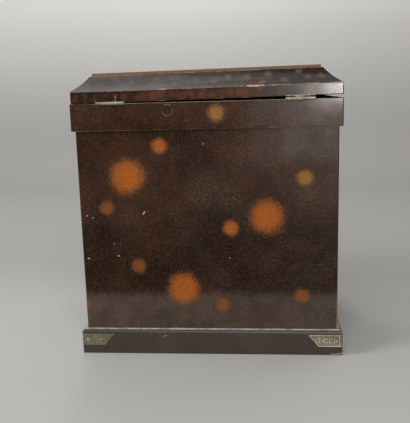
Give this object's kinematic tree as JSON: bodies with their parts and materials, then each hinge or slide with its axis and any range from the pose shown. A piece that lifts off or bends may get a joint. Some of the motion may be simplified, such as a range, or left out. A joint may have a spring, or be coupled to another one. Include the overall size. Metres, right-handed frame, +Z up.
{
  "type": "lacquer cabinet",
  "caption": "Lacquered table cabinet on a plinth, with sliding drawers on drop bails and a hinged, hollow-sloped lid over a shallow compartment.",
  "frame": {"origin": "middle of the base, on the surface that the cabinet stands on", "axes": "+Z up, the drawers face -Y, the hinges of the lid are at +Y, +X to the right seen from the front"},
  "size_m": [0.2932, 0.2182, 0.314],
  "materials": {
    "case_lacquer": "dark brown gloss lacquer with round clouds of gold powder",
    "plinth_lacquer": "near-black brown gloss lacquer, worn at the edges",
    "lid_lacquer": "dark brown gloss lacquer dusted with gold",
    "inside_lacquer": "dark red-brown satin lacquer",
    "drawer_lining": "brown satin lacquer",
    "mount_metal": "engraved silvered metal, dulled",
    "pull_metal": "silvered metal, dulled"
  },
  "bodies": {
    "case": {"back_board": "case_lacquer", "bottom_board": "case_lacquer", "collar_back": "case_lacquer", "collar_front": "case_lacquer", "collar_left": "case_lacquer", "collar_right": "case_lacquer", "compartment_floor": "inside_lacquer", "corner_mount_back_left": "mount_metal", "corner_mount_back_right": "mount_metal", "corner_mount_front_left": "mount_metal", "corner_mount_front_right": "mount_metal", "hinge_leaf_case_left": "mount_metal", "hinge_leaf_case_right": "mount_metal", "hinge_nails_case": "mount_metal", "hinge_pin_left": "mount_metal", "hinge_pin_right": "mount_metal", "lower_shelf": "case_lacquer", "mount_nails": "mount_metal", "plinth_back": "plinth_lacquer", "plinth_front": "plinth_lacquer", "plinth_left": "plinth_lacquer", "plinth_right": "plinth_lacquer", "side_left": "case_lacquer", "side_right": "case_lacquer", "top_rail": "case_lacquer", "upper_shelf": "case_lacquer"},
    "lid": {"hinge_leaf_lid_left": "mount_metal", "hinge_leaf_lid_right": "mount_metal", "hinge_nails_lid": "mount_metal", "lid_moulding_back": "lid_lacquer", "lid_moulding_front": "lid_lacquer", "lid_moulding_left": "lid_lacquer", "lid_moulding_right": "lid_lacquer", "lid_panel": "lid_lacquer"},
    "lower_drawer": {"lower_drawer_back": "drawer_lining", "lower_drawer_bottom": "drawer_lining", "lower_drawer_front": "case_lacquer", "lower_drawer_side_left": "drawer_lining", "lower_drawer_side_right": "drawer_lining", "lower_pull_plate": "pull_metal"},
    "lower_bail": {"lower_bail": "pull_metal"},
    "middle_drawer": {"middle_drawer_back": "drawer_lining", "middle_drawer_bottom": "drawer_lining", "middle_drawer_front": "case_lacquer", "middle_drawer_side_left": "drawer_lining", "middle_drawer_side_right": "drawer_lining", "middle_pull_plate": "pull_metal"},
    "middle_bail": {"middle_bail": "pull_metal"},
    "upper_drawer": {"upper_drawer_back": "drawer_lining", "upper_drawer_bottom": "drawer_lining", "upper_drawer_front": "case_lacquer", "upper_drawer_side_left": "drawer_lining", "upper_drawer_side_right": "drawer_lining", "upper_pull_plate": "pull_metal"},
    "upper_bail": {"upper_bail": "pull_metal"}
  },
  "joints": [
    {"name": "lid_hinge", "type": "hinge", "parent": "case", "child": "lid", "pos_m": [0, 0.107, 0.27965], "axis": [-1, 0, 0], "range_deg": [0, 105]},
    {"name": "lower_drawer_slide", "type": "slide", "parent": "case", "child": "lower_drawer", "axis": [0, -1, 0], "range_m": [0, 0.15]},
    {"name": "lower_bail_swing", "type": "hinge", "parent": "lower_drawer", "child": "lower_bail", "pos_m": [0, -0.1059, 0.0783], "axis": [-1, 0, 0], "range_deg": [0, 170]},
    {"name": "middle_drawer_slide", "type": "slide", "parent": "case", "child": "middle_drawer", "axis": [0, -1, 0], "range_m": [0, 0.15]},
    {"name": "middle_bail_swing", "type": "hinge", "parent": "middle_drawer", "child": "middle_bail", "pos_m": [0, -0.1059, 0.1513], "axis": [-1, 0, 0], "range_deg": [0, 170]},
    {"name": "upper_drawer_slide", "type": "slide", "parent": "case", "child": "upper_drawer", "axis": [0, -1, 0], "range_m": [0, 0.15]},
    {"name": "upper_bail_swing", "type": "hinge", "parent": "upper_drawer", "child": "upper_bail", "pos_m": [0, -0.1059, 0.2121], "axis": [-1, 0, 0], "range_deg": [0, 170]}
  ]
}
